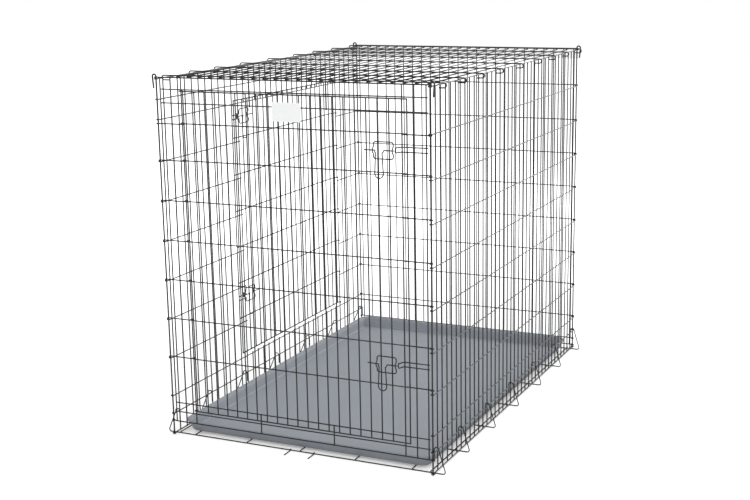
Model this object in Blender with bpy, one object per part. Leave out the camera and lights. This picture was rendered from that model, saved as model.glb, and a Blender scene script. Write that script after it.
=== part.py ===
"""Large wire dog crate, in metres, +Z up, front door facing -Y.

Four welded wire panels hook round four drop pins at the corners. The front panel and the left panel
each have a doorway with a hinged wire door, held by two slide bolts, and are made as four mats round
it. A top panel hooks over the side panels, a floor grid hooks up to them, and a plastic pan slides in
over the grid from the front.
Every wire is swept along its own path, and the wires of one panel are joined where they are welded.
"""
import math

import bmesh
import bpy
from mathutils import Vector

# Overall size: between the axes of the corner pins, and up to the panels' top rails
crate_width = 0.9018
crate_depth = 1.3944
crate_height = 1.143

# Wires: half diagonal of a mesh wire, and how wires meet
wire_r = 0.0019
gap = 0.0003
weld = 0.0003
layer = 2 * wire_r + gap
frame_half = wire_r + gap + weld
border_more = 0.00005
border_half = wire_r + border_more
hinge_upright_r = 0.0027
stub = 0.0035

# Drop pins and the loops of the rails round them
pin_r = 0.0025
pin_clear = 0.0004
pin_loop = pin_r + pin_clear + wire_r
pin_foot = 0.001
pin_neck_clear = 0.0006
pin_crook = 0.0065
pin_tail_low = 0.0305
pin_tail_in = 0.003

# Floor wires and pan, up to the pan's rim, which the front panel's low rail clears
floor_r = 0.0021
floor_half = floor_r * math.cos(math.pi / 6)
floor_x_z = floor_half
floor_y_z = floor_x_z + floor_half + gap + wire_r
pan_low = floor_y_z + wire_r + gap
pan_height = 0.0362
pan_under_rail = 0.00131

# Rail heights: eight levels, those of the right panel, with the last lifted a little. The other
# panels' rails lie whole layers from them, so that the loops stack on each pin.
level_count = 8
level_first = 0.1238
level_last_down = 0.1372
level_last_lift = 0.0034
top_front_over = 0.0035
top_side_under = 0.0015
rear_foot_over = 0.0076
top_rail_front = crate_height + top_front_over
top_rail_side = crate_height - top_side_under
side_foot_rail = floor_x_z + floor_half + gap + border_half
rear_foot_rail = side_foot_rail + rear_foot_over

# Front panel, in from the pins' axes and from its top and low rails
corner_in = 0.0124
strip_outer_pitch = 0.037
strip_inner_pitch = 0.0375
front_outer = crate_width / 2 - corner_in
front_second = front_outer - strip_outer_pitch
front_doorway = front_second - strip_inner_pitch
front_stub = 0.127
front_low_rail = pan_low + pan_height + pan_under_rail + border_half
head_high_down = 0.0361
head_low_down = 0.0778
sill_high_up = 0.0614
sill_low_up = 0.0309
head_rails = (top_rail_front - head_high_down, top_rail_front - head_low_down)
sill_rails = (front_low_rail + sill_high_up, front_low_rail + sill_low_up)

# Rear panel
rear_uprights = 24
rear_low_rail = 0.0385

# Side panels
right_uprights = 36
side_corner_in = 0.0346
side_outer = crate_depth / 2 - side_corner_in
side_low_rail = 0.0725
side_head_down = 0.062
side_head_rail = top_rail_side - side_head_down

# Left panel's uprights: before its doorway, over and under it, and behind it
side_behind_run = 0.1626
side_doorway_run = 0.728
side_hinge = side_behind_run - side_outer
side_latch = side_hinge + side_doorway_run
side_before = 12
side_between = 18
side_behind = 5

# Doors, in the plane in front of the panel's uprights
door_clear = 0.0006
door_inner_pitch = 0.03564
door_frame_over = 0.018
door_hinge_frame = 0.0095
door_first_inner = 0.049
side_door_rise = 0.012
side_door_top_rise = 0.009
eye_clear = 0.00035
eye_slope = 0.0045
front_door_over_sill = 0.013
front_door_low = sill_rails[1] + front_door_over_sill
front_door_high = head_rails[0] - border_half - wire_r - gap

# Latches: the same four sets, placed from the door's latch frame and over two of the levels
upper_latch_level = 6
lower_latch_level = 1
front_upper_latch_rise = 0.0669
front_lower_latch_rise = 0.0649
side_upper_latch_rise = 0.0815
side_lower_latch_rise = 0.0860
latch_r = 0.0018
guide_width = 0.0615
guide_height = 0.049
guide_corner = 0.007
guide_bulge = 0.0075
guide_bulge_tall = 0.009
guide_back = 0.072
bolt_tip_back = 0.0375
bolt_length = 0.096
bolt_travel = 0.0245
handle_width = 0.0265
handle_back = 0.084
handle_drop = 0.0795
handle_stand = 0.0052
keeper_spread = 0.014
keeper_rise = 0.003
keeper_tip_back = 0.0322
keeper_ramp = 0.007
keeper_nose = 0.003

# Floor grid: wires along X on the ground, hooked up to the sides at their ends, wires along Y on top
floor_side_in = 0.0139
floor_outer_pitch = 0.059
floor_inner_wires = 5
floor_end_in = 0.0172
floor_first_in = 0.195
floor_last_in = 0.235
floor_middle_wires = 5
floor_reach = 0.034
floor_bend = 0.004
floor_hook_r = 0.0075
floor_hook_rise = 0.0025
floor_hook_tail = 0.030
hook_room = 0.0065
floor_outer = crate_width / 2 - floor_side_in
floor_second = floor_outer - floor_outer_pitch
floor_end = crate_depth / 2 - floor_end_in

# Top panel: wires along X, hooked over the sides at their ends, wires along Y under them. It lies a
# little towards the rear.
top_back = 0.023
top_end_in = 0.0422
top_cross_pitch = 0.155
top_cross_each_end = 3
top_side_in = 0.0329
top_y_wires = 23
top_hook_reach = 0.022
top_hook_r = 0.007
top_hook_tail = 0.002
top_end = crate_depth / 2 - top_end_in
top_half_width = crate_width / 2 - top_side_in

# Pan, in from the pins' axes
pan_side_in = 0.0169
pan_front_in = 0.0207
pan_rear_in = 0.0147
pan_half_width = crate_width / 2 - pan_side_in
pan_front = crate_depth / 2 - pan_front_in
pan_rear = crate_depth / 2 - pan_rear_in
pan_wall = 0.0025
pan_corner = 0.045
pan_corner_steps = 4
pan_draft = 0.022
pan_round = 0.003
pan_lip = 0.004
pan_lip_drop = 0.006
pan_rim = 0.008
pan_step = 0.0045
pan_shelf = 0.008

# Pan stop: two prongs hooked over the front floor wire, folded down in front of it
stop_places = (-0.034, 0.048)
stop_r = 0.0018
stop_past_rail = 0.0013
stop_length = front_low_rail - border_half - floor_x_z + stop_past_rail

# Label plate on the front door
plate_width = 0.095
plate_height = 0.056
plate_thick = 0.0015
plate_over_rail = 0.0188
plate_corner = 0.004

# Colours: satin charcoal wire, slate plastic, white plate
wire_colour = (0.030, 0.031, 0.033, 1)
pan_colour = (0.205, 0.225, 0.250, 1)
plate_colour = (0.80, 0.80, 0.80, 1)

# Layers out from the pins' line: rails inside the front and left panels, outside the other two.
# Inset rails pass clear behind a strip's uprights, and inset uprights meet the rails behind them.
rail_inside = -pin_loop
upright_inside = rail_inside + layer
inset = weld + gap
rail_inset = rail_inside - inset
upright_inset = upright_inside - inset
rail_outside = pin_loop
upright_outside = rail_outside - layer
door_upright_w = upright_inside + 2 * frame_half + door_clear
door_rail_w = door_upright_w + layer
latch_w = door_upright_w + wire_r + gap + latch_r
keeper_w = latch_w + 2 * latch_r + 2 * gap

# Heights of the top panel's wires
top_x_z = top_rail_side + border_half + gap + frame_half
top_y_z = top_x_z - layer


def spread(first, last, count):
    return [first + (last - first) * k / (count - 1) for k in range(count)]


right_heights = spread(level_first, crate_height - level_last_down, level_count)
right_heights[-1] += level_last_lift
rear_heights = [z + layer for z in right_heights]
left_heights = [z + 2 * layer for z in right_heights]
front_heights = [z + 3 * layer for z in right_heights[1:-1]] + [right_heights[-1] - layer]
front_door_heights = [z + layer for z in front_heights]
side_door_heights = [z + side_door_rise for z in left_heights[:-1]]
side_door_high = left_heights[-1] + side_door_top_rise
plate_low = front_door_heights[-1] + plate_over_rail
front_latch_heights = (front_heights[upper_latch_level - 1] + front_upper_latch_rise,
                       front_heights[lower_latch_level - 1] + front_lower_latch_rise)
side_latch_heights = (left_heights[upper_latch_level] + side_upper_latch_rise,
                      left_heights[lower_latch_level] + side_lower_latch_rise)


def left_uprights():
    """Places along the left panel: before the doorway, over and under it, and behind it."""
    before = spread(side_outer, side_latch, side_before)
    between = spread(side_latch, side_hinge, side_between + 2)[1:-1]
    behind = spread(side_hinge, -side_outer, side_behind)
    return before, between, behind


def clear_places(targets):
    """Each target, or the nearest place to it that keeps a hook clear of both sides' uprights."""
    taken = spread(-side_outer, side_outer, right_uprights)
    taken += [-u for group in left_uprights() for u in group]
    spare = [u + move for u in taken for move in (-hook_room, hook_room)]
    found = []
    for target in targets:
        choices = [y for y in [target] + spare if min(abs(y - u) for u in taken) > hook_room - 1e-6]
        found.append(min(choices, key=lambda y: abs(y - target)))
    return found


class Side:
    """A panel's plane: u runs along it, w out of it, z up, from the middle of the pins' line."""

    def __init__(self, middle, along, out, half):
        self.middle = Vector(middle)
        self.along = Vector(along)
        self.out = Vector(out)
        self.half = half

    def at(self, u, w, z):
        return self.middle + u * self.along + w * self.out + Vector((0, 0, z))


front = Side((0, -crate_depth / 2, 0), (1, 0, 0), (0, -1, 0), crate_width / 2)
rear = Side((0, crate_depth / 2, 0), (-1, 0, 0), (0, 1, 0), crate_width / 2)
left = Side((-crate_width / 2, 0, 0), (0, -1, 0), (-1, 0, 0), crate_depth / 2)
right = Side((crate_width / 2, 0, 0), (0, 1, 0), (1, 0, 0), crate_depth / 2)


def diamond(r):
    return [(r, 0), (0, r), (-r, 0), (0, -r)]


def square(half):
    return [(half, half), (-half, half), (-half, -half), (half, -half)]


def rounded(r, sides):
    """A regular outline whose corners lie at r."""
    turns = [math.pi * (2 * k + 1) / sides for k in range(sides)]
    return [(r * math.cos(turn), r * math.sin(turn)) for turn in turns]


def slide(ring, run, point, normal):
    """Carry a ring along a run on to the plane through a point."""
    return [v + run * ((point - v).dot(normal) / run.dot(normal)) for v in ring]


def sweep(bm, points, section, across, closed=False):
    """Sweep a section along a path with mitred corners, square to across on its longest run."""
    points = [Vector(p) for p in points]
    count = len(points)
    legs = [points[(k + 1) % count] - points[k] for k in range(count if closed else count - 1)]
    runs = [leg.normalized() for leg in legs]
    base = 0 if closed else max(range(len(legs)), key=lambda k: legs[k].length)
    across = Vector(across)
    across = (across - across.dot(runs[base]) * runs[base]).normalized()
    side = runs[base].cross(across)
    middle = (points[base] + points[base + 1]) / 2
    start = [middle + a * side + b * across for a, b in section]

    def mitre(k):
        if closed:
            return (runs[k - 1] + runs[k]).normalized()
        if k == 0:
            return runs[0]
        if k == count - 1:
            return runs[-1]
        return (runs[k - 1] + runs[k]).normalized()

    rings = {}
    ring = start
    for k in range(base + 1, count):
        ring = slide(ring, runs[k - 1], points[k], mitre(k))
        rings[k] = ring
    ring = start
    for k in range(base, -1, -1):
        ring = slide(ring, runs[k], points[k], mitre(k))
        rings[k] = ring
    made = [[bm.verts.new(v) for v in rings[k]] for k in range(count)]
    sides = len(section)
    pairs = list(zip(made, made[1:]))
    if closed:
        pairs.append((made[-1], made[0]))
    for low, high in pairs:
        for k in range(sides):
            bm.faces.new((low[k], low[(k + 1) % sides], high[(k + 1) % sides], high[k]))
    if not closed:
        bm.faces.new(made[0][::-1])
        bm.faces.new(made[-1])


def material(name, colour, metallic, roughness):
    made = bpy.data.materials.new(name)
    made.use_nodes = True
    shader = made.node_tree.nodes["Principled BSDF"]
    shader.inputs["Base Color"].default_value = colour
    shader.inputs["Metallic"].default_value = metallic
    shader.inputs["Roughness"].default_value = roughness
    return made


def mesh_object(name, bm, finish, origin=(0, 0, 0)):
    """An object from a bmesh in world coordinates, with its origin set to a given point."""
    origin = Vector(origin)
    bmesh.ops.translate(bm, verts=bm.verts, vec=-origin)
    bmesh.ops.recalc_face_normals(bm, faces=bm.faces)
    mesh = bpy.data.meshes.new(name)
    bm.to_mesh(mesh)
    bm.free()
    made = bpy.data.objects.new(name, mesh)
    made.location = origin
    bpy.context.scene.collection.objects.link(made)
    if finish is not None:
        mesh.materials.append(finish)
    return made


def wire_finish(name):
    return material(name + "_coat", wire_colour, 0.35, 0.42)


def welded(name, rails, uprights, origin=(0, 0, 0)):
    """One welded mat: its rails joined with its uprights by a union."""
    mat = mesh_object(name, rails, wire_finish(name), origin)
    tool = mesh_object(name + "_uprights", uprights, None)
    tool.hide_render = True
    tool.display_type = "WIRE"
    join = mat.modifiers.new("weld", "BOOLEAN")
    join.operation = "UNION"
    join.solver = "EXACT"
    join.object = tool
    return mat


def pin_loop_path(side, end, w, z, half):
    """Points of a rail's loop round the pin at one end, from the rail's line at w to its tip."""
    reach = pin_r + pin_clear + half
    corner = reach / math.cos(math.pi / 6)
    face = 1 if w > 0 else -1
    pin_u = end * side.half

    def around(angle, radius):
        turn = math.radians(angle)
        return side.at(pin_u + end * radius * math.sin(turn), face * radius * math.cos(turn), z)

    points = []
    if abs(abs(w) - reach) > 1e-6:
        points.append(side.at(pin_u - end * (reach + 0.0035), w, z))
        points.append(around(-30, corner))
    points += [around(angle, corner) for angle in (30, 90, 150, 210)]
    points.append(around(240, reach))
    return points


def rail(bm, side, z, w, start, stop, section, half):
    """A horizontal rail. start or stop is a place along the side, or None for a loop round the pin."""
    points = []
    if start is None:
        points += pin_loop_path(side, -1, w, z, half)[::-1]
    else:
        points.append(side.at(start, w, z))
    if stop is None:
        points += pin_loop_path(side, 1, w, z, half)
    else:
        points.append(side.at(stop, w, z))
    sweep(bm, points, section, (0, 0, 1))


def mesh_rail(bm, side, z, w, start=None, stop=None):
    rail(bm, side, z, w, start, stop, diamond(wire_r), wire_r)


def border_rail(bm, side, z, w, start=None, stop=None):
    rail(bm, side, z, w, start, stop, square(border_half), border_half)


def upright(bm, side, u, w, low, high, section=None):
    """A vertical wire. Its ends stop inside a border rail, or run on past a mesh rail by a stub."""
    sweep(bm, [side.at(u, w, low), side.at(u, w, high)], section or diamond(wire_r), side.out)


def frame_upright(bm, side, u, w, low, high):
    upright(bm, side, u, w, low, high, square(frame_half))


def hinge_upright(bm, side, u, w, low, high):
    upright(bm, side, u, w, low, high, rounded(hinge_upright_r, 8))


def make_rear_panel():
    rails, uprights = bmesh.new(), bmesh.new()
    for z in (top_rail_front, rear_foot_rail):
        border_rail(rails, rear, z, upright_outside)
    for z in [rear_low_rail] + rear_heights:
        mesh_rail(rails, rear, z, rail_outside)
    places = spread(-front_outer, front_outer, rear_uprights)
    for u in places:
        add = frame_upright if u in (places[0], places[-1]) else upright
        add(uprights, rear, u, upright_outside, rear_foot_rail, top_rail_front)
    return welded("rear_panel", rails, uprights)


def make_right_panel():
    rails, uprights = bmesh.new(), bmesh.new()
    for z in (top_rail_side, side_foot_rail):
        border_rail(rails, right, z, upright_outside)
    for z in [side_low_rail] + right_heights:
        mesh_rail(rails, right, z, rail_outside)
    places = spread(-side_outer, side_outer, right_uprights)
    for u in places:
        add = frame_upright if u in (places[0], places[-1]) else upright
        add(uprights, right, u, upright_outside, side_foot_rail, top_rail_side)
    return welded("right_side_panel", rails, uprights)


def make_strip(name, side, places, hinge_u, low, high, heights, start, stop):
    """The full-height mat at one side of a doorway, between the panel's foot and top rails."""
    rails, uprights = bmesh.new(), bmesh.new()
    for z in heights:
        mesh_rail(rails, side, z, rail_inside, start, stop)
    bottom = low + border_half + gap
    top = high - border_half - gap
    for u in places:
        if u == hinge_u:
            hinge_upright(uprights, side, u, upright_inside, bottom, top)
        elif u in (places[0], places[-1]):
            frame_upright(uprights, side, u, upright_inside, bottom, top)
        else:
            upright(uprights, side, u, upright_inset, bottom, top)
    welded(name, rails, uprights)


def make_crossing(name, side, border_z, heights, places, end_z, ends):
    """The mat over or under a doorway: a border rail, the rails beside it and short uprights."""
    rails, uprights = bmesh.new(), bmesh.new()
    border_rail(rails, side, border_z, upright_inside)
    for z in heights:
        mesh_rail(rails, side, z, rail_inset, *ends)
    for u in places:
        if u in (places[0], places[-1]):
            frame_upright(uprights, side, u, upright_inset, *sorted((border_z, end_z)))
        else:
            upright(uprights, side, u, upright_inside, *sorted((border_z, end_z)))
    welded(name, rails, uprights)


def make_left_panel():
    """The left panel: a mat before its doorway, one behind it, and one over and one under it."""
    before, between, behind = left_uprights()
    open_heights = left_heights[1:-1]
    make_strip("left_side_panel_front_strip", left, before, None, side_foot_rail, top_rail_side, open_heights,
               side_latch - stub, None)
    make_strip("left_side_panel_rear_strip", left, behind, side_hinge, side_foot_rail, top_rail_side,
               open_heights, None, side_hinge + stub)
    make_crossing("left_side_panel_head", left, top_rail_side, (left_heights[-1], side_head_rail), between,
                  left_heights[-1] - stub, (None, None))
    make_crossing("left_side_panel_sill", left, side_foot_rail, (side_low_rail, left_heights[0]), between,
                  left_heights[0] + stub, (None, None))


def make_front_panel():
    """The front panel: a mat at each side of its doorway, and one over and one under it."""
    hinge_side = (-front_outer, -front_second, -front_doorway)
    latch_side = (front_doorway, front_second, front_outer)
    short = (-front_stub, front_stub)
    ends = (-front_outer - stub, front_outer + stub)
    make_strip("front_panel_hinge_strip", front, hinge_side, -front_doorway, front_low_rail, top_rail_front,
               front_heights, None, -front_doorway + stub)
    make_strip("front_panel_latch_strip", front, latch_side, None, front_low_rail, top_rail_front,
               front_heights, front_doorway - stub, None)
    make_crossing("front_panel_head", front, top_rail_front, head_rails, short, head_rails[1] - stub, ends)
    make_crossing("front_panel_sill", front, front_low_rail, sill_rails, short, sill_rails[0] + stub, ends)


def hinge_eye_path(side, hinge_u, w, z, half):
    """Points of a door rail's end, from inside its eye round the doorway upright out to its line."""
    reach = hinge_upright_r + eye_clear + half
    corner = reach / math.cos(math.pi / 6)

    def around(angle, radius):
        turn = math.radians(angle)
        return side.at(hinge_u - radius * math.sin(turn), upright_inside + radius * math.cos(turn), z)

    points = [around(230, reach)] + [around(angle, corner) for angle in (210, 150, 90, 30)]
    points.append(around(-30, corner))
    points.append(side.at(hinge_u + reach + eye_slope, w, z))
    return points


def door_rail(bm, side, hinge_u, latch_u, w, z, section, half):
    points = hinge_eye_path(side, hinge_u, w, z, half)
    points.append(side.at(latch_u, w, z))
    sweep(bm, points, section, (0, 0, 1))


def make_door(name, side, hinge_u, latch_u, low, high, heights):
    """A hinged wire door. latch_u is the doorway upright that the door closes past."""
    rails, uprights = bmesh.new(), bmesh.new()
    frame_u = latch_u + door_frame_over
    for z in (low, high):
        door_rail(rails, side, hinge_u, frame_u + frame_half + gap, door_upright_w, z,
                  square(border_half), border_half)
    for z in heights:
        door_rail(rails, side, hinge_u, frame_u + stub, door_rail_w, z, diamond(wire_r), wire_r)
    for u in (hinge_u + door_hinge_frame, frame_u):
        frame_upright(uprights, side, u, door_upright_w, low, high)
    u = hinge_u + door_first_inner
    while u < frame_u - door_inner_pitch:
        upright(uprights, side, u, door_upright_w, low, high)
        u += door_inner_pitch
    return welded(name, rails, uprights, side.at(hinge_u, upright_inside, 0))


def make_pin(name, x_end, y_end):
    """A drop pin: a straight shaft with a crook at the top that turns out and down to a short tail."""
    bm = bmesh.new()
    axis = Vector((x_end * crate_width / 2, y_end * crate_depth / 2, 0))
    neck = top_rail_front + border_half + pin_neck_clear
    points = [axis + Vector((0, 0, pin_foot))]
    for k in range(5):
        turn = math.pi * k / 4
        out = pin_crook * (1 - math.cos(turn))
        points.append(axis + Vector((x_end * out, 0, neck + pin_crook * math.sin(turn))))
    tail = Vector((x_end * (2 * pin_crook - pin_tail_in), 0, crate_height - pin_tail_low))
    points.append(axis + tail)
    sweep(bm, points, rounded(pin_r, 8), (0, 1, 0))
    return mesh_object(name, bm, wire_finish(name), axis)


def guide_path(side, middle_u, z):
    """A closed wire guide: a rounded frame whose two sides bulge out over the bolt."""
    half_u = guide_width / 2
    half_z = guide_height / 2
    quarter = []
    for angle in (90, 45, 0):
        turn = math.radians(angle)
        quarter.append((half_u - guide_corner + guide_corner * math.cos(turn),
                        half_z - guide_corner + guide_corner * math.sin(turn)))
    right_side = [(u, latch_w, v) for u, v in quarter]
    right_side.append((half_u, latch_w, guide_bulge_tall))
    right_side.append((half_u, latch_w + guide_bulge, guide_bulge_tall / 3))
    right_side += [(u, w, -v) for u, w, v in right_side[::-1]]
    left_side = [(-u, w, -v) for u, w, v in right_side]
    return [side.at(middle_u + u, w, z + v) for u, w, v in right_side + left_side]


def make_guide(name, side, frame_u, z):
    bm = bmesh.new()
    sweep(bm, guide_path(side, frame_u - guide_back, z), diamond(latch_r), side.out, closed=True)
    return mesh_object(name, bm, wire_finish(name))


def make_bolt(name, side, frame_u, z):
    """The straight rod of a slide bolt, at rest with its tip just short of the keeper."""
    bm = bmesh.new()
    tip_u = frame_u - bolt_tip_back
    ends = [side.at(tip_u - bolt_length, latch_w, z), side.at(tip_u, latch_w, z)]
    sweep(bm, ends, rounded(latch_r, 6), (0, 0, 1))
    return mesh_object(name, bm, wire_finish(name), side.at(tip_u, latch_w, z))


def make_handle(name, side, frame_u, z):
    """The bolt's drop handle: a U of wire that stands off the rod and hangs in front of the guide."""
    bm = bmesh.new()
    middle = frame_u - handle_back
    half = handle_width / 2
    stand = latch_w + handle_stand
    arc = []
    for angle in (180, 225, 270, 315, 360):
        turn = math.radians(angle)
        arc.append(side.at(middle + half * math.cos(turn), stand,
                           z - handle_drop + half + half * math.sin(turn)))
    root = latch_w + latch_r + eye_clear
    points = [side.at(middle - half, root, z), side.at(middle - half, stand, z)]
    points += arc
    points += [side.at(middle + half, stand, z), side.at(middle + half, root, z)]
    sweep(bm, points, rounded(latch_r, 6), side.along)
    return mesh_object(name, bm, wire_finish(name), side.at(middle, latch_w, z))


def make_keeper(name, side, latch_u, far_u, z):
    """The keeper: a long U whose legs lie on the panel and whose closed end stands out over the bolt."""
    bm = bmesh.new()
    z += keeper_rise
    half = keeper_spread / 2
    tip = latch_u + door_frame_over - keeper_tip_back
    nose = tip + keeper_nose
    foot = nose + keeper_ramp
    leg = [(far_u, rail_inside, half), (foot, rail_inside, half), (nose, keeper_w, half)]
    nose_points = [(tip, keeper_w, half - keeper_nose), (tip, keeper_w, keeper_nose - half)]
    other = [(u, w, -v) for u, w, v in leg[::-1]]
    points = [side.at(u, w, z + v) for u, w, v in leg + nose_points + other]
    sweep(bm, points, rounded(latch_r, 6), (0, 0, 1))
    return mesh_object(name, bm, wire_finish(name))


def make_latches(which, side, latch_u, far_u, heights):
    frame_u = latch_u + door_frame_over
    for place, z in zip(("upper", "lower"), heights):
        stem = which + "_" + place
        make_guide(stem + "_latch_guide", side, frame_u, z)
        make_bolt(stem + "_bolt", side, frame_u, z)
        make_handle(stem + "_bolt_handle", side, frame_u, z)
        make_keeper(stem + "_keeper", side, latch_u, far_u, z)


def floor_hook(end, y):
    """Points of a floor wire's upturned end: out past the side panel, up, and over its low rail."""
    rail_x = crate_width / 2 + (rail_outside if end > 0 else rail_inset)
    middle_z = side_low_rail + floor_hook_rise
    corner = floor_hook_r / math.cos(math.pi / 6)
    tip = crate_width / 2 + floor_reach
    points = [Vector((end * (tip - floor_bend), y, floor_x_z)),
              Vector((end * tip, y, floor_x_z + floor_bend))]
    for angle in (30, 90, 150):
        turn = math.radians(angle)
        points.append(Vector((end * (rail_x + corner * math.cos(turn)), y,
                              middle_z + corner * math.sin(turn))))
    points.append(Vector((end * (rail_x - floor_hook_r), y, middle_z - floor_hook_tail)))
    return points


def make_floor_wires():
    """The floor grid, wire by wire: the wires across lie on the ground, and the long ones on them."""
    middle = spread(floor_first_in - floor_end, floor_end - floor_last_in, floor_middle_wires)
    places = [-floor_end] + clear_places(middle) + [floor_end]
    for k, y in enumerate(places):
        bm = bmesh.new()
        name = f"floor_cross_wire_{k + 1}"
        sweep(bm, floor_hook(-1, y)[::-1] + floor_hook(1, y), rounded(floor_r, 6), (0, 1, 0))
        mesh_object(name, bm, wire_finish(name))
    inner = spread(-floor_second, floor_second, floor_inner_wires)
    for k, x in enumerate([-floor_outer] + inner + [floor_outer]):
        bm = bmesh.new()
        name = f"floor_long_wire_{k + 1}"
        ends = [(x, -floor_end - stub, floor_y_z), (x, floor_end + stub, floor_y_z)]
        sweep(bm, ends, diamond(wire_r), (0, 0, 1))
        mesh_object(name, bm, wire_finish(name))


def top_hook(end, y):
    """Points of a top wire's end, out over the side panel's top rail, round and back under it."""
    rail_x = crate_width / 2 + (upright_outside if end > 0 else upright_inside)
    corner = top_hook_r / math.cos(math.pi / 6)
    middle_x = crate_width / 2 + top_hook_reach - corner
    middle_z = top_x_z - top_hook_r
    points = []
    for angle in (30, 90, 150):
        turn = math.radians(angle)
        points.append(Vector((end * (middle_x + corner * math.sin(turn)), y,
                              middle_z + corner * math.cos(turn))))
    points.append(Vector((end * (rail_x - top_hook_tail), y, middle_z - top_hook_r)))
    return points


def make_top_panel():
    cross, lengthwise = bmesh.new(), bmesh.new()
    ends = [top_end - k * top_cross_pitch for k in range(1, top_cross_each_end + 1)]
    targets = [-top_end] + [-y for y in ends] + [0.0] + ends[::-1] + [top_end]
    places = clear_places([top_back + y for y in targets])
    for y in places:
        points = top_hook(-1, y)[::-1] + top_hook(1, y)
        section = square(frame_half) if y in (places[0], places[-1]) else diamond(wire_r)
        sweep(cross, points, section, (0, 1, 0))
    for x in spread(-top_half_width, top_half_width, top_y_wires):
        section = square(frame_half) if abs(x) == top_half_width else diamond(wire_r)
        ends = [(x, places[0] - stub, top_y_z), (x, places[-1] + stub, top_y_z)]
        sweep(lengthwise, ends, section, (0, 0, 1))
    return welded("top_panel", cross, lengthwise)


def rounded_loop(bm, low, high, corner, z):
    """A ring of vertices round a rectangle with rounded corners."""
    ring = []
    middles = [(high.x - corner, high.y - corner, 0), (low.x + corner, high.y - corner, 90),
               (low.x + corner, low.y + corner, 180), (high.x - corner, low.y + corner, 270)]
    for x, y, first in middles:
        for k in range(pan_corner_steps + 1):
            turn = math.radians(first + 90 * k / pan_corner_steps)
            ring.append(bm.verts.new((x + corner * math.cos(turn), y + corner * math.sin(turn), z)))
    return ring


def make_pan():
    """A moulded plastic tray: drafted walls under a thicker rim, a step inside it and a flat floor."""
    bm = bmesh.new()
    low = Vector((-pan_half_width, -pan_front, 0))
    high = Vector((pan_half_width, pan_rear, 0))
    wall = pan_wall
    top = pan_low + pan_height
    outer = [(pan_draft, pan_low), (pan_draft - pan_round, pan_low + pan_round / 2),
             (pan_lip, top - pan_lip_drop), (0, top - pan_lip_drop), (0, top - wall / 2), (wall / 2, top)]
    inner = [(pan_rim, top), (pan_rim + wall / 2, top - pan_step), (pan_rim + pan_shelf, top - pan_step),
             (pan_draft + wall - pan_round / 2, pan_low + wall + pan_round / 2),
             (pan_draft + wall + pan_round / 2, pan_low + wall)]
    rings = []
    for inset, z in outer + inner:
        shrink = Vector((inset, inset, 0))
        rings.append(rounded_loop(bm, low + shrink, high - shrink, pan_corner - inset, z))
    for a, b in zip(rings, rings[1:]):
        for k in range(len(a)):
            n = (k + 1) % len(a)
            bm.faces.new((a[k], a[n], b[n], b[k]))
    bm.faces.new(rings[0][::-1])
    bm.faces.new(rings[-1])
    finish = material("pan_plastic", pan_colour, 0.0, 0.45)
    return mesh_object("pan", bm, finish)


def make_stop(name, x):
    """One prong of the pan stop: a quarter hook over the front floor wire, and a straight prong."""
    bm = bmesh.new()
    axis = Vector((x, -floor_end, floor_x_z))
    half = stop_r * math.cos(math.pi / 6)
    reach = floor_r + eye_clear + half
    corner = reach / math.cos(math.pi / 8)
    lift = half + gap - axis.z
    points = [axis + Vector((0, 0, reach))]
    for angle in (112.5, 157.5):
        turn = math.radians(angle)
        points.append(axis + Vector((0, corner * math.cos(turn), corner * math.sin(turn))))
    points.append(axis + Vector((0, -reach - half, lift)))
    points.append(axis + Vector((0, -stop_length, lift)))
    sweep(bm, points, rounded(stop_r, 6), (1, 0, 0))
    return mesh_object(name, bm, wire_finish(name), axis)


def make_plate():
    """The bare label plate, flat on the front door's uprights."""
    bm = bmesh.new()
    back_w = door_upright_w + wire_r + gap
    half_u = plate_width / 2 - plate_corner
    half_z = plate_height / 2 - plate_corner
    outline = []
    for u, z, first in ((half_u, half_z, 0), (-half_u, half_z, 90),
                        (-half_u, -half_z, 180), (half_u, -half_z, 270)):
        for k in range(4):
            turn = math.radians(first + 30 * k)
            outline.append((u + plate_corner * math.cos(turn), z + plate_corner * math.sin(turn)))
    middle_z = plate_low + plate_height / 2
    rings = []
    for w in (back_w, back_w + plate_thick):
        rings.append([bm.verts.new(front.at(u, w, middle_z + z)) for u, z in outline])
    bm.faces.new(rings[0])
    bm.faces.new(rings[1][::-1])
    for k in range(len(outline)):
        n = (k + 1) % len(outline)
        bm.faces.new((rings[0][k], rings[0][n], rings[1][n], rings[1][k]))
    return mesh_object("label_plate", bm, material("plate_white", plate_colour, 0.0, 0.5))


def main():
    for thing in list(bpy.data.objects):
        bpy.data.objects.remove(thing)
    make_front_panel()
    make_rear_panel()
    make_left_panel()
    make_right_panel()
    make_top_panel()
    make_floor_wires()
    make_door("front_door", front, -front_doorway, front_doorway, front_door_low, front_door_high,
              front_door_heights)
    make_door("side_door", left, side_hinge, side_latch, side_door_heights[0], side_door_high,
              side_door_heights[1:])
    make_latches("front", front, front_doorway, front_outer + stub, front_latch_heights)
    make_latches("side", left, side_latch, left_uprights()[0][-2] + stub, side_latch_heights)
    for name, x_end, y_end in (("front_left", -1, -1), ("front_right", 1, -1),
                               ("rear_left", -1, 1), ("rear_right", 1, 1)):
        make_pin(name + "_drop_pin", x_end, y_end)
    make_pan()
    for name, x in zip(("left", "right"), stop_places):
        make_stop(name + "_pan_stop", x)
    make_plate()


main()
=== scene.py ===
"""Looks of the large wire dog crate: round coated wires, a moulded pan, a bare plate and a studio.

Each wire piece is drawn again with round wires along the same lines as its solid, in metres, +Z up,
front door facing -Y.
"""
import math

import bmesh
import bpy
from mathutils import Matrix, Vector

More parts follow.
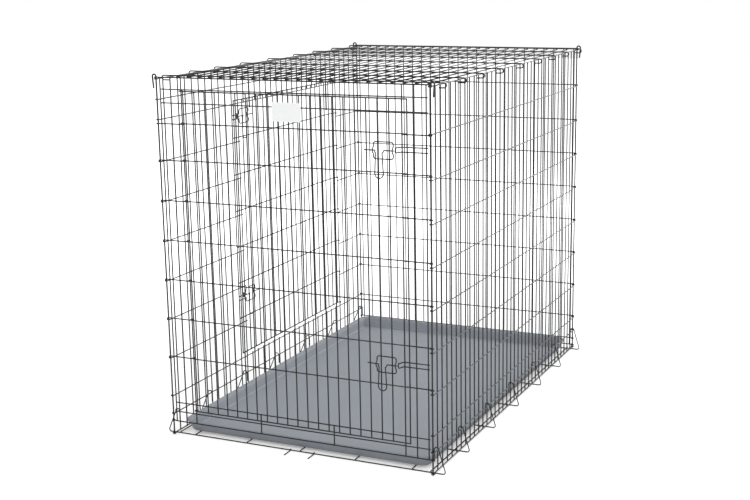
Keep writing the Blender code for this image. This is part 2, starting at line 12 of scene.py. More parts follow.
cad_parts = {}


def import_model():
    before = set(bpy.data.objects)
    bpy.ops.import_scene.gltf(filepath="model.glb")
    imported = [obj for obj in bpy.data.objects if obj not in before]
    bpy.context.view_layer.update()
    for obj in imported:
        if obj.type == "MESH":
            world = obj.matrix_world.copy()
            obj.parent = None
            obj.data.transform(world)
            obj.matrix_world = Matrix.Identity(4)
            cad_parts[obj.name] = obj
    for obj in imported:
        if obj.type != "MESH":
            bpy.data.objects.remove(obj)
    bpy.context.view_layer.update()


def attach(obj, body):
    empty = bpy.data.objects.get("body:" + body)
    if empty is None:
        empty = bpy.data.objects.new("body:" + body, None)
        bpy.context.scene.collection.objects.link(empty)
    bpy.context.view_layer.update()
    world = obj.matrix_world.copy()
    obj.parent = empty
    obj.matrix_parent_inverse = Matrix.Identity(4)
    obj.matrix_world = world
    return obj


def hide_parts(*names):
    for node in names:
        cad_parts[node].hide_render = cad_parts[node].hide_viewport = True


# Crate size between the pins' axes, and the rails' heights. The levels are the right panel's rails, and
# the other panels' rails at those levels lie whole layers over or under them.
crate_width = 0.9018
crate_depth = 1.3944
level_count = 8
level_first = 0.1238
level_last = 1.0058
level_last_lift = 0.0034
layer = 0.0041
top_rail_front = 1.1465
top_rail_side = 1.1415
head_rails = (1.1104, 1.0687)
sill_rails = (0.1089, 0.0784)
front_low_rail = 0.0475
rear_low_rail = 0.0385
rear_foot_rail = 0.0135
side_low_rail = 0.0725
side_foot_rail = 0.0059
side_head_rail = 1.0795

# Wires: radii, how far welded ones sink into each other, how far an end stands past its last weld, and
# the share of the radius that is flat at a cut end and by which its edge is set back
rail_r = 0.0019
upright_r = 0.0021
latch_r = 0.0018
floor_r = 0.0018
sink = 0.0003
stub = 0.0035
end_face = 0.72
end_break = 0.25

# How finely wires are drawn, when two points or two runs count as one, and an arc's share of a run
wire_sides = 12
pin_sides = 16
bend_steps = 6
turn_steps = 16
loop_steps = 18
same_place = 1e-5
same_run = 1e-4
arc_share = 0.49

# Drop pins
pin_r = 0.0025
pin_foot_z = 0.001
pin_neck_z = 1.14905
pin_below_neck = 0.02
pin_crook = 0.0065
pin_tail_z = 1.1125
pin_tail_in = 0.003

# Rails' loops round the pins: turns in degrees, and where their bends start in reaches from the pin
pin_clear = 0.0001
loop_turn_first = -40
loop_turn_last = 242
loop_bend = 0.01
loop_bend_from = 4.2
loop_bend_to = 1.8
loop_straight_from = 2
loop_slack = 0.001

# Uprights
front_outer = 0.4385
front_second = 0.4015
front_doorway = 0.364
front_stub = 0.127
rear_uprights = 24
right_uprights = 36
side_outer = 0.6626
side_latch = 0.228
side_hinge = -0.500
side_before = 12
side_between = 18
side_behind = 5

# Layers out from the pins' line
upright_w = 0.0007
door_upright_w = 0.0049
rail_w = upright_w + upright_r + rail_r - sink
door_rail_w = door_upright_w + upright_r + rail_r - sink
guide_w = 0.0088
bolt_w = 0.0089

# Doors
door_frame_over = 0.018
door_hinge_frame = 0.0095
door_first_inner = 0.049
door_inner_pitch = 0.03564
eye_clear = 0.0003
eye_turn = 250
eye_straight = 0.001
eye_ramp_from = 0.0035
eye_ramp_to = 0.0085
eye_bend = 0.006
front_door_low = 0.0914
front_door_high = 1.10625
side_door_rise = 0.012
side_door_top_rise = 0.009

# Latches, placed from the door's latch-side upright
latch_heights = {"front": (("upper", 0.959), ("lower", 0.327)),
                 "side": (("upper", 0.9695), ("lower", 0.344))}
guide_back = 0.072
guide_half_u = 0.03075
guide_half_z = 0.0245
guide_corner = 0.008
guide_bulge = 0.0075
guide_bulge_foot = 0.0105
guide_bulge_top = 0.0045
bolt_tip_back = 0.0375
bolt_length = 0.096
bolt_gap = 0.002
handle_back = 0.084
handle_half = 0.01325
handle_drop = 0.0795
handle_stand = 0.0052
handle_root = 0.004
handle_bend = 0.003
handle_step = 0.006
keeper_half = 0.007
keeper_rise = 0.003
keeper_tip_back = 0.0322
keeper_nose = 0.003
keeper_ramp = 0.007
keeper_w = 0.0131
keeper_bend = 0.0045
keeper_end_over = 0.0002

# Floor grid and top panel
floor_long = (-0.437, -0.378, -0.189, 0.0, 0.189, 0.378, 0.437)
floor_end = 0.680
floor_across = (-0.485, -0.2525, -0.020, 0.2125, 0.445)
floor_reach = 0.034
floor_hook_r = 0.0075
floor_hook_rise = 0.0025
floor_hook_tail = 0.030
floor_hook_low = 0.002
floor_bend = 0.007
hook_room = 0.0065
hook_room_slack = 1e-6
floor_across_z = 0.00182
floor_long_z = 0.00584
top_end = 0.655
top_across = (-0.50, -0.345, -0.19, 0.0, 0.19, 0.345, 0.50)
top_long_wires = 23
top_long_pitch = 0.038
top_back = 0.023
top_hook_reach = 0.022
top_hook_r = 0.007
top_hook_tail = 0.002
top_across_z = 1.14625
top_long_z = top_across_z - 2 * upright_r + sink

# Pan
pan_half_width = 0.434
pan_front = 0.6765
pan_rear = 0.6825
pan_low = 0.00804
pan_height = 0.0362
pan_wall = 0.0025
pan_corner = 0.045
pan_corner_steps = 12

# Plate
plate_width = 0.095
plate_height = 0.056
plate_thick = 0.0015
plate_low = 1.028
plate_corner = 0.004
plate_corner_steps = 8
plate_gap = 0.0001
plate_back_edge = 0.0003
plate_front_edge = 0.0004

# Pan stops
stop_places = (("left", -0.034), ("right", 0.048))
stop_r = 0.0017
stop_reach = 0.0040
stop_length = 0.0440
stop_curl_steps = 8
stop_curl_end = 0.0005
stop_bend = 0.001

# Colours, linear
coat_dark = (0.005, 0.0052, 0.0056, 1)
coat_light = (0.010, 0.0104, 0.011, 1)
pan_grey = (0.270, 0.290, 0.318, 1)
pan_pale = (0.310, 0.330, 0.358, 1)
plate_white = (0.88, 0.88, 0.87, 1)
plate_pale_share = (0.96, 0.96, 0.955)

# Camera, fitted to the photograph's straight wires
camera_place = (1.87878, -4.09068, 1.50866)
camera_azimuth = 25.3026
camera_elevation = 12.6453
camera_roll = -1.0014
camera_lens = 63.95
camera_sensor = 36

# Studio: the floor, how strongly it glows to the camera near the crate and far from it, the world, and
# the lamps as name, place, size and power
floor_size = 14
floor_drop = 0.0005
floor_white = (0.9, 0.9, 0.9, 1)
floor_glow = (1, 0.985, 0.965, 1)
glow_near = 0.34
glow_far = 1.0
glow_from = 1.0
glow_to = 3.0
world_tint = (0.95, 0.97, 1, 1)
world_seen = (1, 1, 1, 1)
world_strength = 0.55
lamps = (("key", (1.6, -2.6, 3.6), 2.4, 90), ("fill", (-3.2, -1.5, 2.4), 2.6, 25),
         ("back", (1.4, 3.8, 3.0), 3.2, 150))
lamp_aim = (0, 0, 0.5)


def spread(first, last, count):
    """Evenly spaced places from first to last."""
    return [first + (last - first) * k / (count - 1) for k in range(count)]


right_heights = spread(level_first, level_last, level_count)
right_heights[-1] += level_last_lift
rear_heights = [z + layer for z in right_heights]
left_heights = [z + 2 * layer for z in right_heights]
front_heights = [z + 3 * layer for z in right_heights[1:-1]] + [right_heights[-1] - layer]
front_door_heights = [z + layer for z in front_heights]
side_door_heights = [z + side_door_rise for z in left_heights[:-1]]
side_door_high = left_heights[-1] + side_door_top_rise


class Side:
    """A panel's plane: u runs along it, w out of it, z up, from the middle of the pins' line."""

    def __init__(self, middle, along, out, half):
        self.middle = Vector(middle)
        self.along = Vector(along)
        self.out = Vector(out)
        self.half = half

    def at(self, u, w, z):
        return self.middle + u * self.along + w * self.out + Vector((0, 0, z))


front = Side((0, -crate_depth / 2, 0), (1, 0, 0), (0, -1, 0), crate_width / 2)
rear = Side((0, crate_depth / 2, 0), (-1, 0, 0), (0, 1, 0), crate_width / 2)
left = Side((-crate_width / 2, 0, 0), (0, -1, 0), (-1, 0, 0), crate_depth / 2)
right = Side((crate_width / 2, 0, 0), (0, 1, 0), (1, 0, 0), crate_depth / 2)


def rounded(corners, radius, closed=False):
    """A path with each corner turned on an arc of the given radius, or as much of it as fits."""
    corners = [Vector(c) for c in corners]
    count = len(corners)
    path = []
    for k, corner in enumerate(corners):
        if not closed and k in (0, count - 1):
            path.append(corner)
            continue
        before = corners[k - 1]
        after = corners[(k + 1) % count]
        run = (corner - before).normalized()
        leave = (after - corner).normalized()
        turn = run.angle(leave)
        if turn < same_run:
            path.append(corner)
            continue
        room = arc_share * min((corner - before).length, (after - corner).length)
        reach = min(radius * math.tan(turn / 2), room)
        arc_r = reach / math.tan(turn / 2)
        inward = (leave - leave.dot(run) * run).normalized()
        start = corner - run * reach
        for step in range(bend_steps + 1):
            angle = turn * step / bend_steps
            path.append(start + run * arc_r * math.sin(angle) + inward * arc_r * (1 - math.cos(angle)))
    return path


def without_repeats(path, closed):
    """The path's points, less any that lies on the one before it."""
    path = [Vector(point) for point in path]
    clean = [path[0]]
    for point in path[1:]:
        if (point - clean[-1]).length > same_place:
            clean.append(point)
    if closed and (clean[0] - clean[-1]).length < same_place:
        clean.pop()
    return clean


def tangents_of(path, closed):
    count = len(path)
    if closed:
        return [(path[(k + 1) % count] - path[k - 1]).normalized() for k in range(count)]
    return [(path[min(k + 1, count - 1)] - path[max(k - 1, 0)]).normalized() for k in range(count)]


def wire_rings(bm, path, tangents, radius, sides):
    """A ring of corners round each point of the path, turned as little as the path allows."""
    normal = tangents[0].orthogonal().normalized()
    rings = []
    for point, tangent in zip(path, tangents):
        normal = (normal - normal.dot(tangent) * tangent).normalized()
        across = tangent.cross(normal)
        ring = []
        for s in range(sides):
            angle = 2 * math.pi * s / sides
            ring.append(bm.verts.new(point + radius * (math.cos(angle) * normal + math.sin(angle) * across)))
        rings.append(ring)
    return rings


def broken_end(bm, rim, middle, inward):
    """Set a cut end's rim back by the inward step, and return the smaller ring that closes the end."""
    ring = [bm.verts.new(middle + (v.co - middle) * end_face) for v in rim]
    for v in rim:
        v.co += inward
    return ring


def skin(bm, rings, smooth=True, capped=True):
    """Faces from each ring of corners to the next, and one over each end where it is capped."""
    for low, high in zip(rings, rings[1:]):
        for k in range(len(low)):
            n = (k + 1) % len(low)
            bm.faces.new((low[k], low[n], high[n], high[k])).smooth = smooth
    if capped:
        bm.faces.new(rings[0][::-1])
        bm.faces.new(rings[-1])


def wire(bm, path, radius, sides=wire_sides, closed=False):
    """A round wire along a path, with softly broken edges at its cut ends."""
    path = without_repeats(path, closed)
    tangents = tangents_of(path, closed)
    rings = wire_rings(bm, path, tangents, radius, sides)
    if closed:
        shift = min(range(sides), key=lambda s: (rings[0][s].co - rings[-1][0].co).length)
        rings.append(rings[0][shift:] + rings[0][:shift])
    else:
        depth = radius * end_break
        rings.insert(0, broken_end(bm, rings[0], path[0], tangents[0] * depth))
        rings.append(broken_end(bm, rings[-1], path[-1], -tangents[-1] * depth))
    skin(bm, rings, capped=not closed)


def finish_piece(name, bm, body, nodes, finish):
    """Make an object from a bmesh, give it its material, and let it stand for the CAD nodes."""
    bmesh.ops.recalc_face_normals(bm, faces=bm.faces)
    mesh = bpy.data.meshes.new(name)
    bm.to_mesh(mesh)
    bm.free()
    made = bpy.data.objects.new(name, mesh)
    bpy.context.scene.collection.objects.link(made)
    mesh.materials.append(finish)
    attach(made, body)
    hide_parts(*nodes)


def noise(tree, scale, detail):
    coords = tree.nodes.new("ShaderNodeTexCoord")
    made = tree.nodes.new("ShaderNodeTexNoise")
    made.inputs["Scale"].default_value = scale
    made.inputs["Detail"].default_value = detail
    tree.links.new(coords.outputs["Object"], made.inputs["Vector"])
    return made.outputs["Fac"]


def remap(tree, value, low, high):
    made = tree.nodes.new("ShaderNodeMapRange")
    made.inputs["To Min"].default_value = low
    made.inputs["To Max"].default_value = high
    tree.links.new(value, made.inputs["Value"])
    return made.outputs["Result"]


def mixed(tree, value, one, two):
    made = tree.nodes.new("ShaderNodeMix")
    made.data_type = "RGBA"
    made.inputs["A"].default_value = one
    made.inputs["B"].default_value = two
    tree.links.new(value, made.inputs["Factor"])
    return made.outputs["Result"]


def bump(tree, value, depth, strength):
    made = tree.nodes.new("ShaderNodeBump")
    made.inputs["Distance"].default_value = depth
    made.inputs["Strength"].default_value = strength
    tree.links.new(value, made.inputs["Height"])
    return made.outputs["Normal"]


def shader_of(name):
    made = bpy.data.materials.new(name)
    made.use_nodes = True
    return made, made.node_tree, made.node_tree.nodes["Principled BSDF"]


def coated_wire():
    """Black electro-coat over steel wire: satin, with a faint orange peel and uneven film."""
    made, tree, shader = shader_of("wire_coat")
    film = noise(tree, scale=55, detail=4)
    peel = noise(tree, scale=1400, detail=2)
    tree.links.new(mixed(tree, film, coat_dark, coat_light), shader.inputs["Base Color"])
    tree.links.new(remap(tree, film, low=0.26, high=0.40), shader.inputs["Roughness"])
    tree.links.new(bump(tree, peel, depth=0.00012, strength=0.35), shader.inputs["Normal"])
    shader.inputs["Specular IOR Level"].default_value = 0.45
    shader.inputs["Coat Weight"].default_value = 0.12
    shader.inputs["Coat Roughness"].default_value = 0.2
    return made


def moulded_plastic():
    """Blue-grey moulded plastic with a fine leather grain and slight clouding."""
    made, tree, shader = shader_of("pan_plastic")
    cloud = noise(tree, scale=6, detail=5)
    grain = noise(tree, scale=900, detail=3)
    tree.links.new(mixed(tree, cloud, pan_grey, pan_pale), shader.inputs["Base Color"])
    tree.links.new(remap(tree, grain, low=0.42, high=0.58), shader.inputs["Roughness"])
    tree.links.new(bump(tree, grain, depth=0.0004, strength=0.3), shader.inputs["Normal"])
    return made


def plate_plastic():
    """Smooth white plastic, bare, with the faintest mottling."""
    made, tree, shader = shader_of("plate_plastic")
    cloud = noise(tree, scale=40, detail=4)
    grain = noise(tree, scale=1200, detail=2)
    pale = (*(white * share for white, share in zip(plate_white, plate_pale_share)), 1)
    tree.links.new(mixed(tree, cloud, plate_white, pale), shader.inputs["Base Color"])
    tree.links.new(remap(tree, cloud, low=0.34, high=0.46), shader.inputs["Roughness"])
    tree.links.new(bump(tree, grain, depth=0.0001, strength=0.2), shader.inputs["Normal"])
    return made


def pin_loop(side, end, w, z, radius):
    """A rail's loop round a pin: from its line at w, round the outside of the pin and back."""
    reach = pin_r + pin_clear + radius
    face = 1 if w > 0 else -1
    pin_u = end * side.half

    def around(degrees):
        turn = math.radians(degrees)
        return side.at(pin_u + end * reach * math.sin(turn), face * reach * math.cos(turn), z)

    path = []
    if abs(abs(w) - reach) > loop_slack:
        first = loop_turn_first
        path += rounded([side.at(pin_u - end * loop_bend_from * reach, w, z),
                         side.at(pin_u - end * loop_bend_to * reach, w, z), around(first)], loop_bend)[:-1]
    else:
        first = 0
        path.append(side.at(pin_u - end * loop_straight_from * reach, face * reach, z))
    path += [around(first + (loop_turn_last - first) * k / loop_steps) for k in range(loop_steps + 1)]
    return path


def rail(bm, side, z, w, start=None, stop=None, radius=rail_r):
    """A horizontal rail from start to stop, each a place along the side or None for a pin loop."""
    path = pin_loop(side, -1, w, z, radius)[::-1] if start is None else [side.at(start, w, z)]
    path += pin_loop(side, 1, w, z, radius) if stop is None else [side.at(stop, w, z)]
    wire(bm, path, radius)


def upright(bm, side, u, w, low, high):
    wire(bm, [side.at(u, w, low), side.at(u, w, high)], upright_r)


def rear_panel(finish):
    bm = bmesh.new()
    for z in (top_rail_front, rear_foot_rail):
        rail(bm, rear, z, upright_w, radius=upright_r)
    for z in [rear_low_rail] + rear_heights:
        rail(bm, rear, z, rail_w)
    for u in spread(-front_outer, front_outer, rear_uprights):
        upright(bm, rear, u, upright_w, rear_foot_rail, top_rail_front)
    finish_piece("rear_panel_wires", bm, "crate", ["rear_panel"], finish)


def right_panel(finish):
    bm = bmesh.new()
    for z in (top_rail_side, side_foot_rail):
        rail(bm, right, z, upright_w, radius=upright_r)
    for z in [side_low_rail] + right_heights:
        rail(bm, right, z, rail_w)
    for u in spread(-side_outer, side_outer, right_uprights):
        upright(bm, right, u, upright_w, side_foot_rail, top_rail_side)
    finish_piece("right_side_panel_wires", bm, "crate", ["right_side_panel"], finish)


def left_uprights():
    before = spread(side_outer, side_latch, side_before)
    between = spread(side_latch, side_hinge, side_between + 2)[1:-1]
    behind = spread(side_hinge, -side_outer, side_behind)
    return before, between, behind


def left_panel(finish):
    bm = bmesh.new()
    sill_z = left_heights[0]
    head_z = left_heights[-1]
    for z in (top_rail_side, side_foot_rail):
        rail(bm, left, z, -upright_w, radius=upright_r)
    for z in (side_low_rail, sill_z, head_z, side_head_rail):
        rail(bm, left, z, -rail_w)
    for z in left_heights[1:-1]:
        rail(bm, left, z, -rail_w, stop=side_hinge + stub)
        rail(bm, left, z, -rail_w, start=side_latch - stub)
    before, between, behind = left_uprights()
    for u in before + behind:
        upright(bm, left, u, -upright_w, side_foot_rail, top_rail_side)
    for u in between:
        upright(bm, left, u, -upright_w, side_foot_rail, sill_z + stub)
        upright(bm, left, u, -upright_w, head_z - stub, top_rail_side)
    mats = ["left_side_panel_" + mat for mat in ("front_strip", "rear_strip", "head", "sill")]
    finish_piece("left_side_panel_wires", bm, "crate", mats, finish)


def front_panel(finish):
    bm = bmesh.new()
    for z in (top_rail_front, front_low_rail):
        rail(bm, front, z, -upright_w, radius=upright_r)
    for z in head_rails + sill_rails:
        rail(bm, front, z, -rail_w, -front_outer - stub, front_outer + stub)
    for z in front_heights:
        rail(bm, front, z, -rail_w, stop=-front_doorway + stub)
        rail(bm, front, z, -rail_w, start=front_doorway - stub)
    for u in (front_outer, front_second, front_doorway):
        for hand in (-1, 1):
            upright(bm, front, hand * u, -upright_w, front_low_rail, top_rail_front)
    for hand in (-1, 1):
        upright(bm, front, hand * front_stub, -upright_w, head_rails[1] - stub, top_rail_front)
        upright(bm, front, hand * front_stub, -upright_w, front_low_rail, sill_rails[0] + stub)
    mats = ["front_panel_" + mat for mat in ("hinge_strip", "latch_strip", "head", "sill")]
    finish_piece("front_panel_wires", bm, "crate", mats, finish)


def door_rail(bm, side, hinge_u, end_u, w, z, radius):
    """A door rail, ending in an eye round the doorway upright."""
    reach = upright_r + eye_clear + radius

    def around(degrees):
        turn = math.radians(degrees)
        return side.at(hinge_u - reach * math.sin(turn), -upright_w + reach * math.cos(turn), z)

    path = [around(eye_turn - eye_turn * k / loop_steps) for k in range(loop_steps + 1)]
    path += rounded([side.at(hinge_u + eye_straight, -upright_w + reach, z),
                     side.at(hinge_u + eye_ramp_from, -upright_w + reach, z),
                     side.at(hinge_u + eye_ramp_to, w, z), side.at(end_u, w, z)], eye_bend)
    wire(bm, path, radius)


def door(name, side, hinge_u, latch_u, low, high, heights, finish):
    bm = bmesh.new()
    frame_u = latch_u + door_frame_over
    for z in (low, high):
        door_rail(bm, side, hinge_u, frame_u + upright_r, door_upright_w, z, upright_r)
    for z in heights:
        door_rail(bm, side, hinge_u, frame_u + stub, door_rail_w, z, rail_r)
    places = [hinge_u + door_hinge_frame, frame_u]
    u = hinge_u + door_first_inner
    while u < frame_u - door_inner_pitch:
        places.append(u)
        u += door_inner_pitch
    for u in places:
        upright(bm, side, u, door_upright_w, low, high)
    finish_piece(name + "_wires", bm, name, [name], finish)


def drop_pins(finish):
    for name, x_end, y_end in (("front_left", -1, -1), ("front_right", 1, -1),
                               ("rear_left", -1, 1), ("rear_right", 1, 1)):
        bm = bmesh.new()
        axis = Vector((x_end * crate_width / 2, y_end * crate_depth / 2, 0))
        path = [axis + Vector((0, 0, pin_foot_z)), axis + Vector((0, 0, pin_neck_z - pin_below_neck))]
        for k in range(turn_steps + 1):
            turn = math.pi * k / turn_steps
            out = pin_crook * (1 - math.cos(turn))
            path.append(axis + Vector((x_end * out, 0, pin_neck_z + pin_crook * math.sin(turn))))
        path.append(axis + Vector((x_end * (2 * pin_crook - pin_tail_in), 0, pin_tail_z)))
        wire(bm, path, pin_r, sides=pin_sides)
        node = name + "_drop_pin"
        finish_piece(node + "_wire", bm, node, [node], finish)


def guide_path(side, middle_u, z):
    """The guide's rounded frame, with both sides bulging out over the bolt."""
    half_u, half_z = guide_half_u, guide_half_z
    out_w = guide_w + guide_bulge
    right_side = [(half_u, guide_w, half_z), (half_u, guide_w, guide_bulge_foot),
                  (half_u, out_w, guide_bulge_top), (half_u, out_w, -guide_bulge_top),
                  (half_u, guide_w, -guide_bulge_foot), (half_u, guide_w, -half_z)]
    left_side = [(-u, w, -v) for u, w, v in right_side]
    corners = [side.at(middle_u + u, w, z + v) for u, w, v in right_side + left_side]
    return rounded(corners, guide_corner, closed=True)


def latch_guide(door_name, stem, side, frame_u, z, finish):
    bm = bmesh.new()
    wire(bm, guide_path(side, frame_u - guide_back, z), latch_r, closed=True)
    node = stem + "_latch_guide"
    finish_piece(stem + "_guide_wire", bm, door_name, [node], finish)


def bolt_rod(stem, side, frame_u, z, finish):
    """The bolt's two straight runs, one to each side of its handle."""
    tip_u = frame_u - bolt_tip_back
    middle = frame_u - handle_back
    reach = handle_half + bolt_gap
    bm = bmesh.new()
    wire(bm, [side.at(tip_u - bolt_length, bolt_w, z), side.at(middle - reach, bolt_w, z)], latch_r)
    wire(bm, [side.at(middle + reach, bolt_w, z), side.at(tip_u, bolt_w, z)], latch_r)
    node = stem + "_bolt"
    finish_piece(node + "_rod", bm, node, [node], finish)


def bolt_handle(stem, side, frame_u, z, finish):
    """The hanging handle: two legs that step out from the bolt's line, and a round foot."""
    middle = frame_u - handle_back
    stand = bolt_w + handle_stand
    half = handle_half
    low = z - handle_drop
    leg = [(half + handle_root, bolt_w, z), (half, bolt_w, z), (half, stand, z - handle_step),
           (half, stand, low)]
    corners = [side.at(middle - u, w, v) for u, w, v in leg]
    corners += [side.at(middle + u, w, v) for u, w, v in leg[::-1]]
    legs = rounded(corners[:3] + corners[-3:], handle_bend)
    leg_points = len(rounded(corners[:4], handle_bend)) - 1
    foot = []
    for k in range(turn_steps + 1):
        turn = math.pi * k / turn_steps
        foot.append(side.at(middle - half * math.cos(turn), stand, low + half - half * math.sin(turn)))
    bm = bmesh.new()
    wire(bm, legs[:leg_points] + foot + legs[-leg_points:], latch_r)
    node = stem + "_bolt_handle"
    finish_piece(node + "_wire", bm, node, [node], finish)


def keeper(stem, side, frame_u, far_u, z, finish):
    """The panel's loop, out through the door's mesh, that the bolt's end goes into."""
    tip = frame_u - keeper_tip_back
    nose = tip + keeper_nose
    leg = [(far_u, -rail_w, keeper_half), (nose + keeper_ramp, -rail_w, keeper_half),
           (nose, keeper_w, keeper_half), (tip - keeper_end_over, keeper_w, keeper_half)]
    corners = [side.at(u, w, z + keeper_rise + v) for u, w, v in leg]
    corners += [side.at(u, w, z + keeper_rise - v) for u, w, v in leg[::-1]]
    bm = bmesh.new()
    wire(bm, rounded(corners, keeper_bend), latch_r)
    node = stem + "_keeper"
    finish_piece(node + "_wire", bm, "crate", [node], finish)


def latches(which, side, latch_u, far_u, finish):
    """A door's two latches. The keepers are welded to the panel's wire at far_u."""
    frame_u = latch_u + door_frame_over
    for place, z in latch_heights[which]:
        stem = which + "_" + place
        latch_guide(which + "_door", stem, side, frame_u, z, finish)
        bolt_rod(stem, side, frame_u, z, finish)
        bolt_handle(stem, side, frame_u, z, finish)
        keeper(stem, side, frame_u, far_u, z, finish)


def clear_places(targets):
    """Each target, or the nearest place to it that keeps a hook clear of both sides' uprights."""
    taken = spread(-side_outer, side_outer, right_uprights)
    taken += [-u for group in left_uprights() for u in group]
    spare = [u + move for u in taken for move in (-hook_room, hook_room)]
    least = hook_room - hook_room_slack
    found = []
    for target in targets:
        choices = [y for y in [target] + spare if min(abs(y - u) for u in taken) > least]
        found.append(min(choices, key=lambda y: abs(y - target)))
    return found


def floor_hook(end, y):
    rail_x = crate_width / 2 + end * rail_w
    tip = crate_width / 2 + floor_reach
    middle_z = side_low_rail + floor_hook_rise
    path = rounded([Vector((0, y, floor_across_z)), Vector((end * tip, y, floor_across_z)),
                    Vector((end * (rail_x + floor_hook_r), y, middle_z - floor_hook_low))],
                   floor_bend)[1:-1]
    for k in range(-1, turn_steps + 1):
        turn = math.pi * k / turn_steps
        path.append(Vector((end * (rail_x + floor_hook_r * math.cos(turn)), y,
                            middle_z + floor_hook_r * math.sin(turn))))
    path.append(Vector((end * (rail_x - floor_hook_r), y, middle_z - floor_hook_tail)))
    return path


def floor_grid(finish):
    places = [-floor_end] + clear_places(floor_across) + [floor_end]
    for k, y in enumerate(places):
        bm = bmesh.new()
        wire(bm, floor_hook(-1, y)[::-1] + floor_hook(1, y), floor_r)
        node = f"floor_cross_wire_{k + 1}"
        finish_piece(node + "_round", bm, "crate", [node], finish)
    for k, x in enumerate(floor_long):
        bm = bmesh.new()
        wire(bm, [(x, -floor_end - stub, floor_long_z), (x, floor_end + stub, floor_long_z)], rail_r)
        node = f"floor_long_wire_{k + 1}"
        finish_piece(node + "_round", bm, "crate", [node], finish)


def top_hook(end, y):
    rail_x = crate_width / 2 + end * upright_w
    middle_x = crate_width / 2 + top_hook_reach - top_hook_r
    middle_z = top_across_z - top_hook_r
    path = []
    for k in range(turn_steps + 1):
        turn = math.pi * k / turn_steps
        path.append(Vector((end * (middle_x + top_hook_r * math.sin(turn)), y,
                            middle_z + top_hook_r * math.cos(turn))))
    path.append(Vector((end * (rail_x - top_hook_tail), y, middle_z - top_hook_r)))
    return path


def top_panel(finish):
    bm = bmesh.new()
    places = clear_places([top_back + y for y in (-top_end, *top_across, top_end)])
    for y in places:
        wire(bm, top_hook(-1, y)[::-1] + top_hook(1, y), upright_r)
    half = (top_long_wires - 1) / 2 * top_long_pitch
    for x in spread(-half, half, top_long_wires):
        wire(bm, [(x, places[0] - stub, top_long_z), (x, places[-1] + stub, top_long_z)], upright_r)
    finish_piece("top_panel_wires", bm, "crate", ["top_panel"], finish)


def pan_profile():
    """The wall as insets and heights, from its foot up over the rim and down to the floor inside."""
    top = pan_low + pan_height
    return [(0.0220, pan_low), (0.0185, pan_low + 0.0008), (0.0165, pan_low + 0.0032),
            (0.0050, top - 0.0078), (0.0040, top - 0.0066), (0.0026, top - 0.0060), (0.0010, top - 0.0058),
            (0.0002, top - 0.0052), (0.0, top - 0.0044), (0.0, top - 0.0018), (0.0005, top - 0.0006),
            (0.0017, top), (0.0075, top), (0.0088, top - 0.0005), (0.0095, top - 0.0015),
            (0.0100, top - 0.0035), (0.0107, top - 0.0043), (0.0120, top - 0.0046), (0.0152, top - 0.0046),
            (0.0166, top - 0.0052), (0.0173, top - 0.0064), (0.0222, pan_low + 0.0060),
            (0.0232, pan_low + 0.0038), (0.0252, pan_low + 0.0027), (0.0275, pan_low + pan_wall)]


def pan(finish):
    """The moulded tray, one wall thick, swept round its rounded outline."""
    bm = bmesh.new()
    rings = []
    for inset, z in pan_profile():
        corner = pan_corner - inset
        middles = ((pan_half_width - pan_corner, pan_rear - pan_corner, 0),
                   (-pan_half_width + pan_corner, pan_rear - pan_corner, 90),
                   (-pan_half_width + pan_corner, -pan_front + pan_corner, 180),
                   (pan_half_width - pan_corner, -pan_front + pan_corner, 270))
        ring = []
        for x, y, first in middles:
            for k in range(pan_corner_steps + 1):
                turn = math.radians(first + 90 * k / pan_corner_steps)
                ring.append(bm.verts.new((x + corner * math.cos(turn), y + corner * math.sin(turn), z)))
        rings.append(ring)
    skin(bm, rings)
    finish_piece("pan_tray", bm, "pan", ["pan"], finish)


def pan_stops(finish):
    for hand, x in stop_places:
        bm = bmesh.new()
        axis = Vector((x, -floor_end, floor_across_z))
        reach = stop_reach
        path = [axis + Vector((0, reach * math.sin(-turn), reach * math.cos(turn)))
                for turn in (math.radians(90 * k / stop_curl_steps) for k in range(stop_curl_steps))]
        path += rounded([axis + Vector((0, -reach, stop_curl_end)), axis + Vector((0, -reach, 0)),
                         axis + Vector((0, -stop_length, 0))], stop_bend)
        wire(bm, path, stop_r)
        node = hand + "_pan_stop"
        finish_piece(node + "_wire", bm, node, [node], finish)


def label_plate(finish):
    """The bare plate, flat on the door's uprights, with softened edges."""
    bm = bmesh.new()
    back = door_upright_w + upright_r + plate_gap
    face = back + plate_thick
    corner = plate_corner
    half_u = plate_width / 2 - corner
    half_z = plate_height / 2 - corner
    middle_z = plate_low + plate_height / 2
    rings = []
    for w, grow in ((back, -plate_back_edge), (back + plate_back_edge, 0), (face - plate_front_edge, 0),
                    (face, -plate_front_edge)):
        ring = []
        for u, z, first in ((half_u, half_z, 0), (-half_u, half_z, 90), (-half_u, -half_z, 180),
                            (half_u, -half_z, 270)):
            for k in range(plate_corner_steps + 1):
                turn = math.radians(first + 90 * k / plate_corner_steps)
                ring.append(bm.verts.new(front.at(u + (corner + grow) * math.cos(turn), w,
                                                  middle_z + z + (corner + grow) * math.sin(turn))))
        rings.append(ring)
    skin(bm, rings, smooth=False)
    finish_piece("label_plate_blank", bm, "front_door", ["label_plate"], finish)


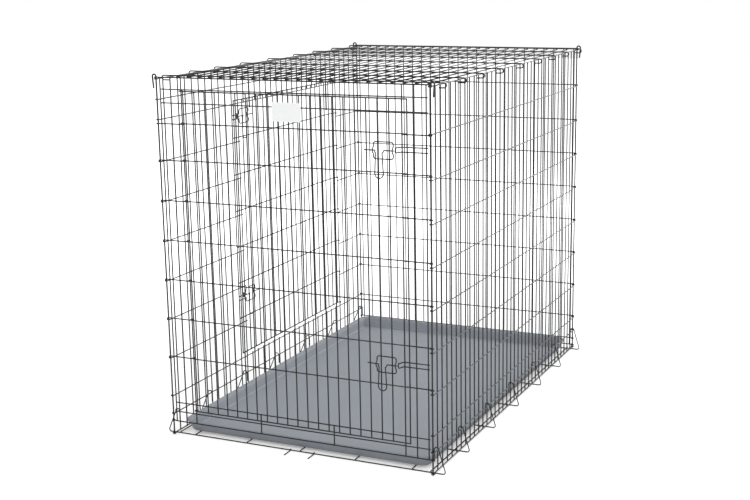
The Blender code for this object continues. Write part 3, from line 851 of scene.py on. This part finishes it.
def studio_floor():
    """A pale floor that keeps the soft shadow and glows to the camera, more so far from the crate."""
    bm = bmesh.new()
    bmesh.ops.create_grid(bm, x_segments=1, y_segments=1, size=floor_size)
    mesh = bpy.data.meshes.new("studio_floor")
    bm.to_mesh(mesh)
    bm.free()
    floor = bpy.data.objects.new("studio_floor", mesh)
    floor.location = (0, 0, -floor_drop)
    bpy.context.scene.collection.objects.link(floor)
    made, tree, shader = shader_of("studio_floor")
    shader.inputs["Base Color"].default_value = floor_white
    shader.inputs["Roughness"].default_value = 0.9
    shader.inputs["Specular IOR Level"].default_value = 0.1
    shader.inputs["Emission Color"].default_value = floor_glow
    coords = tree.nodes.new("ShaderNodeTexCoord")
    away = tree.nodes.new("ShaderNodeVectorMath")
    away.operation = "LENGTH"
    tree.links.new(coords.outputs["Object"], away.inputs[0])
    glow = tree.nodes.new("ShaderNodeMapRange")
    glow.inputs["From Min"].default_value = glow_from
    glow.inputs["From Max"].default_value = glow_to
    glow.inputs["To Min"].default_value = glow_near
    glow.inputs["To Max"].default_value = glow_far
    tree.links.new(away.outputs["Value"], glow.inputs["Value"])
    seen = tree.nodes.new("ShaderNodeLightPath")
    lift = tree.nodes.new("ShaderNodeMath")
    lift.operation = "MULTIPLY"
    tree.links.new(glow.outputs["Result"], lift.inputs[0])
    tree.links.new(seen.outputs["Is Camera Ray"], lift.inputs[1])
    tree.links.new(lift.outputs[0], shader.inputs["Emission Strength"])
    mesh.materials.append(made)


def studio_world():
    """A pale world that lights the crate, seen by the camera as plain white."""
    world = bpy.data.worlds.new("studio")
    world.use_nodes = True
    bpy.context.scene.world = world
    tree = world.node_tree
    light = tree.nodes["Background"]
    light.inputs["Color"].default_value = world_tint
    light.inputs["Strength"].default_value = world_strength
    seen = tree.nodes.new("ShaderNodeBackground")
    seen.inputs["Color"].default_value = world_seen
    rays = tree.nodes.new("ShaderNodeLightPath")
    pick = tree.nodes.new("ShaderNodeMixShader")
    tree.links.new(rays.outputs["Is Camera Ray"], pick.inputs["Fac"])
    tree.links.new(light.outputs["Background"], pick.inputs[1])
    tree.links.new(seen.outputs["Background"], pick.inputs[2])
    tree.links.new(pick.outputs["Shader"], tree.nodes["World Output"].inputs["Surface"])


def studio_lamps():
    """Three soft lamps, all aimed at the middle of the crate."""
    for name, place, size, power in lamps:
        lamp = bpy.data.lights.new(name, "AREA")
        lamp.size = size
        lamp.energy = power
        made = bpy.data.objects.new(name, lamp)
        made.location = place
        aim = Vector(lamp_aim) - Vector(place)
        made.rotation_euler = aim.to_track_quat("-Z", "Y").to_euler()
        bpy.context.scene.collection.objects.link(made)


def camera():
    azimuth, elevation, roll = (math.radians(a) for a in (camera_azimuth, camera_elevation, camera_roll))
    ahead = Vector((-math.sin(azimuth) * math.cos(elevation), math.cos(azimuth) * math.cos(elevation),
                    -math.sin(elevation)))
    level_right = Vector((math.cos(azimuth), math.sin(azimuth), 0))
    level_up = level_right.cross(ahead)
    right_way = math.cos(roll) * level_right + math.sin(roll) * level_up
    up_way = -math.sin(roll) * level_right + math.cos(roll) * level_up
    lens = bpy.data.cameras.new("camera")
    lens.sensor_width = camera_sensor
    lens.lens = camera_lens
    made = bpy.data.objects.new("camera", lens)
    turn = Matrix((right_way, up_way, -ahead)).transposed().to_4x4()
    made.matrix_world = Matrix.Translation(camera_place) @ turn
    bpy.context.scene.collection.objects.link(made)
    bpy.context.scene.camera = made


def main():
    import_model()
    coat = coated_wire()
    front_panel(coat)
    rear_panel(coat)
    left_panel(coat)
    right_panel(coat)
    top_panel(coat)
    floor_grid(coat)
    door("front_door", front, -front_doorway, front_doorway, front_door_low, front_door_high,
         front_door_heights, coat)
    door("side_door", left, side_hinge, side_latch, side_door_heights[0], side_door_high,
         side_door_heights[1:], coat)
    latches("front", front, front_doorway, front_outer + stub, coat)
    latches("side", left, side_latch, left_uprights()[0][-2] + stub, coat)
    drop_pins(coat)
    pan(moulded_plastic())
    pan_stops(coat)
    label_plate(plate_plastic())
    studio_floor()
    studio_world()
    studio_lamps()
    camera()
    bpy.context.scene.view_settings.view_transform = "Standard"


main()
